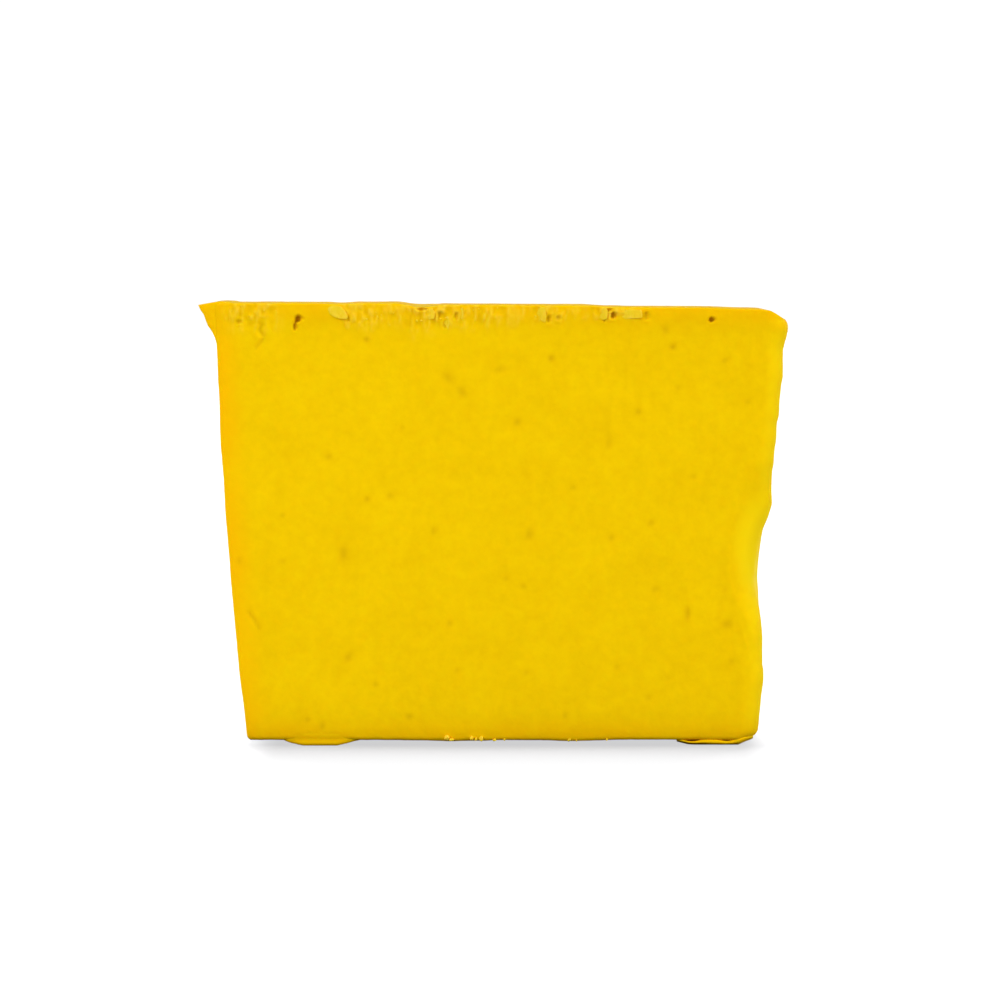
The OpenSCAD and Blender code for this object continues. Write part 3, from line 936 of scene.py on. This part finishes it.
def make_top_crumbs():
    """Raised scales of clay that the blade tore up along the top edge, with crumbs between them."""
    pieces = [
        finish_mesh(make_piece(f"scale_{k}", *scale_skin(*scale, seed=60 + 3 * k)), torn_clay)
        for k, scale in enumerate(SCALES)
    ]
    rng = np.random.default_rng(83)
    guides = []
    for middle, half, reach, strength in TORN_STRETCHES:
        for _ in range(int(3 * strength * half)):
            x = middle + half * rng.uniform(-1, 1)
            below = 0.35 + (reach - 0.6) * rng.uniform(0, 1) ** 2 * 0.8
            guides.append((x, top_flare(below) - 0.06, float(top_z(x)) - below, rng.uniform(0.07, 0.14)))
    pieces.append(make_crumbs("loose_crumbs", guides, 5))
    return join("top_crumbs", pieces, torn_clay)


def make_foot_crumbs():
    guides = [
        (-7, -0.2, 0.35, 0.42), (-6.4, -0.26, 0.1, 0.32), (-3.9, -0.24, 0.25, 0.32), (-3.3, -0.3, 0.1, 0.28),
        (-2.7, -0.28, 0.2, 0.28), (-1, -0.4, 0.05, 0.2), (0.2, -0.42, 0.06, 0.14), (8.4, -0.44, 0, 0.2),
        (9.3, -0.44, 0, 0.16), (13.1, -0.42, 0.08, 0.14),
    ]
    return join("foot_crumbs", [make_crumbs("foot_lumps", guides, 9)], torn_clay)


def make_under_clay(name, stops, section_at, corner_count):
    """Clay under the bar, lofted between the first and last stop through the (y, z) section at each x."""
    left, right = stops[0][0], stops[-1][0]
    loops = []
    for share in (1 - np.cos(np.linspace(0, 1, 81) * math.pi)) / 2:
        x = left + (right - left) * share
        loop = resample(section_at(x, float(follow(stops, x))), corner_count)
        loops.append(columns(np.full(len(loop), x), loop[:, 0], np.maximum(loop[:, 1], TABLE)))
    return finish_mesh(make_piece(name, *loft(loops)), squeezed_clay)


def make_lip():
    """Clay squeezed out under the bar: it carries on from the front face and rolls under to the table."""
    bulge = [
        (-28.4, 0), (-27.6, 0.15), (-26.9, 0.48), (-26.1, 0.7), (-25.4, 0.9), (-24.6, 1), (-21, 0.97),
        (-20.1, 0.75), (-19.3, 0.53), (-18.6, 0.3), (-17.8, 0.12), (-17, 0),
    ]

    def section_at(x, swell):
        foot, head = max(TABLE, 0.08 - 0.82 * swell), 0.3 + 0.8 * swell
        down = np.linspace(0, 1, 22)
        z = head + (foot - head) * down
        face = FRONT - front_relief(x + 0 * z, np.maximum(z, 0))[0] - 0.08 * np.maximum(-z, 0)
        y = face - 0.035 + 0.1 * ease(z, head - 0.45, head) + 0.45 * (1 - swell) ** 2
        y = y + 0.05 * swell * hill((z - 0.1) / 0.22) + 0.24 * down ** 9
        under = [(y[-1] + 0.5, foot), (BACK - 1.6, foot), (BACK - 1.0, foot * 0.8), (BACK - 0.75, foot * 0.4)]
        inside = [(BACK - 0.8, 0.2), (BACK - 1.4, 0.5), (FRONT + 1.2, 0.6), (FRONT + 1.0, head)]
        return np.concatenate([columns(y, z), under, inside])

    return make_under_clay("lip", bulge, section_at, 130)


def make_folded_flake():
    """A flake folded back under the right end: thin and loose at its left, thick where it carries the bar."""
    lower_line = [
        (22, -0.02), (22.8, -0.2), (23.6, -0.36), (25.1, -0.4), (27.3, -0.48), (28.8, -0.46), (29.6, -0.4),
        (30.3, -0.12), (31.1, 0.15), (31.6, 0.3),
    ]

    def section_at(x, lower):
        low_back = max(TABLE, lower - 0.32)
        open_gap = 0.3 * hill((x - 23.9) / 1.1) + 0.24 * hill((x - 28.2) / 0.8)
        upper = 0.1 + 0.5 * ease(x, 28.8, 30.5) - open_gap + 0.03 * lumps(x, 0, 0.7, 1, 95)
        upper = max(lower + 0.16, upper)
        front = FRONT + 0.5 + rolled(right_x(0.6) - x, *PRESSED_ROUND) - 0.1 * ease(x, 28.6, 30.2)
        front += 0.2 * ease(x, 23, 22) + 0.05 * lumps(x, 0, 0.9, 1, 96)
        middle = (upper + lower) / 2
        return np.array([
            (front + 0.4, upper), (front + 0.08, upper * 0.8 + lower * 0.2), (front, middle + 0.04),
            (front + 0.03, upper * 0.3 + lower * 0.7), (front + 0.2, lower), (front + 1.2, low_back),
            (BACK - 1.4, low_back), (BACK - 1.1, middle), (BACK - 1.4, upper + 0.1), (front + 3, upper + 0.1),
        ], float)

    return make_under_clay("folded_tongue", lower_line, section_at, 110)


pieces = {
    "clay_bar": (make_bar(), "clay"),
    "corner_flap": (make_flap(), "clay"),
    "top_edge_crumbs": (make_top_crumbs(), "torn_clay"),
    "foot_edge_crumbs": (make_foot_crumbs(), "torn_clay"),
    "squeezed_lip": (make_lip(), "clay"),
    "folded_flake": (make_folded_flake(), "clay"),
}
clay_pieces = bpy.data.collections.new("clay pieces")
for node, (piece, slot) in pieces.items():
    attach(piece, "root")
    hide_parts(node)
    clay_pieces.objects.link(piece)

# -------- table, lights and camera
FLOOR_GREY = 0.05
BOUNCED_GREY = 0.03
# A painted shadow: under the bar the table glows only at SHADOW_LEVEL, up to GLOW_START from its middle. Past
# GLOW_END it glows fully, so the shadow stops at the ends of the bar's foot.
SHADOW_LEVEL = 0.63
GLOW_X, GLOW_START, GLOW_END = MIDDLE.x + 0.00075, 0.0286, 0.0348

# Lights for the table only: (lean to the back, tilt sideways, share of the table's light, angle across).
TABLE_LIGHTS = [
    (3, 0, 0.095, 6), (8, 0, 0.085, 7), (14, 0, 0.07, 8), (21, 0, 0.035, 8), (29, -14, 0.05, 12),
    (29, 14, 0.05, 12), (9, -58, 0.045, 20), (9, 58, 0.045, 20),
]
# Lights for the clay only: (name, azimuth, elevation, level, angle across).
CLAY_LIGHTS = [
    ("key", -38, 32, 0.5, 12), ("front_soft", 5, 3, 0.15, 80), ("rim", 72, 8, 0.68, 30),
    ("left_soft", -105, 12, 0.3, 60), ("back_left", -150, 10, 0.42, 60), ("back_right", 150, 10, 0.42, 60),
]
PANEL_PLACE, PANEL_AIM = Vector((-0.24, -0.34, 0.09)), Vector((0, 0, 0.03))
PANEL_WIDTH, PANEL_WATTS = 0.15, 0.25

CAMERA_DISTANCE, CAMERA_TILT, VIEW_WIDTH = 0.6, math.radians(3), 0.12543
# What the camera looks at, from the middle of the object's foot.
AIM_X, AIM_Z = 0.00082, 0.03029


def by_camera_ray(tree, unseen, seen, output):
    """Shows one shader to the camera and the other to every other ray."""
    path = add_node(tree, "ShaderNodeLightPath").outputs["Is Camera Ray"]
    add_node(tree, output, {0: output_of(tree, "ShaderNodeMixShader", {0: path, 1: unseen, 2: seen})})


def make_table():
    """A large pale table that glows, with a painted shadow: it glows less under the bar. What it bounces to
    the clay is weaker than what is seen of it.
    """
    mesh = bpy.data.meshes.new("table_top")
    mesh.from_pydata([(-3, -3, 0), (3, -3, 0), (3, 3, 0), (-3, 3, 0)], [], [(0, 1, 2, 3)])
    table = add_object("table_top", mesh)
    material = bpy.data.materials.new("pale table")
    material.use_nodes = True
    tree = material.node_tree
    tree.nodes.clear()
    lit, bounced = (
        output_of(tree, "ShaderNodeBsdfDiffuse", {"Color": (grey, grey, grey, 1)})
        for grey in (FLOOR_GREY, BOUNCED_GREY)
    )
    place = add_node(tree, "ShaderNodeTexCoord").outputs["Object"]
    x = output_of(tree, "ShaderNodeSeparateXYZ", {0: place})
    from_middle = math_node(tree, "ABSOLUTE", math_node(tree, "SUBTRACT", x, GLOW_X))
    # Painted shadow: the table glows less in a strip as wide as the bar's foot.
    level = stretch(tree, from_middle, GLOW_START, GLOW_END, SHADOW_LEVEL, 1.0, kind="SMOOTHSTEP")
    glow_with_painted_shadow = output_of(tree, "ShaderNodeEmission", {"Color": (0.985, 0.985, 1.0, 1), "Strength": level})
    seen = output_of(tree, "ShaderNodeAddShader", {0: lit, 1: glow_with_painted_shadow})
    by_camera_ray(tree, bounced, seen, "ShaderNodeOutputMaterial")
    mesh.materials.append(material)
    return table


def aim_light(light, from_target, receivers):
    light.rotation_mode = "QUATERNION"
    light.rotation_quaternion = from_target.to_track_quat("Z", "Y")
    light.light_linking.receiver_collection = receivers


def make_sun(name, azimuth, elevation, level, angle, receivers):
    """A soft far light for its receivers only. At azimuth 0 it is in front, and at 90 to the right."""
    data = bpy.data.lights.new(name, "SUN")
    data.energy = level * math.pi
    data.angle = math.radians(angle)
    sun = add_object(name, data)
    sun.visible_glossy = False
    a, e = math.radians(azimuth), math.radians(elevation)
    aim_light(sun, Vector((math.sin(a) * math.cos(e), -math.cos(a) * math.cos(e), math.sin(e))), receivers)


table = make_table()
table_only = bpy.data.collections.new("table only")
table_only.objects.link(table)
for lean, tilt, share, angle in TABLE_LIGHTS:
    over = Vector((math.tan(math.radians(tilt)), math.tan(math.radians(lean)), 1)).normalized()
    turn, rise = math.degrees(math.atan2(over.x, -over.y)), math.degrees(math.asin(over.z))
    make_sun(f"overhead_{lean}_{tilt}", turn, rise, share / FLOOR_GREY / over.z, angle, table_only)
for light in CLAY_LIGHTS:
    make_sun(*light, clay_pieces)

panel_data = bpy.data.lights.new("fill_panel", "AREA")
panel_data.shape, panel_data.size, panel_data.energy = "SQUARE", PANEL_WIDTH, PANEL_WATTS
panel = add_object("fill_panel", panel_data)
panel.location = PANEL_PLACE
aim_light(panel, PANEL_PLACE - PANEL_AIM, clay_pieces)

world = bpy.data.worlds.new("studio")
world.use_nodes = True
bpy.context.scene.world = world
world.node_tree.nodes.clear()
ambient, backdrop = (
    output_of(world.node_tree, "ShaderNodeBackground", {"Color": WHITE, "Strength": strength})
    for strength in (0.3, 1.05)
)
by_camera_ray(world.node_tree, ambient, backdrop, "ShaderNodeOutputWorld")

lens = bpy.data.cameras.new("camera")
lens.sensor_width = 36
lens.lens = lens.sensor_width * CAMERA_DISTANCE / VIEW_WIDTH
lens.clip_start, lens.clip_end = 0.01, 20
camera = add_object("camera", lens)
aim = Vector(((cad_low.x + cad_high.x) / 2 + AIM_X, bar_low.y, MIDDLE.z + AIM_Z))
camera.location = aim + CAMERA_DISTANCE * Vector((0, -math.cos(CAMERA_TILT), math.sin(CAMERA_TILT)))
camera.rotation_euler = (math.radians(90) - CAMERA_TILT, 0, 0)
bpy.context.scene.camera = camera
bpy.context.scene.view_settings.view_transform = "Standard"
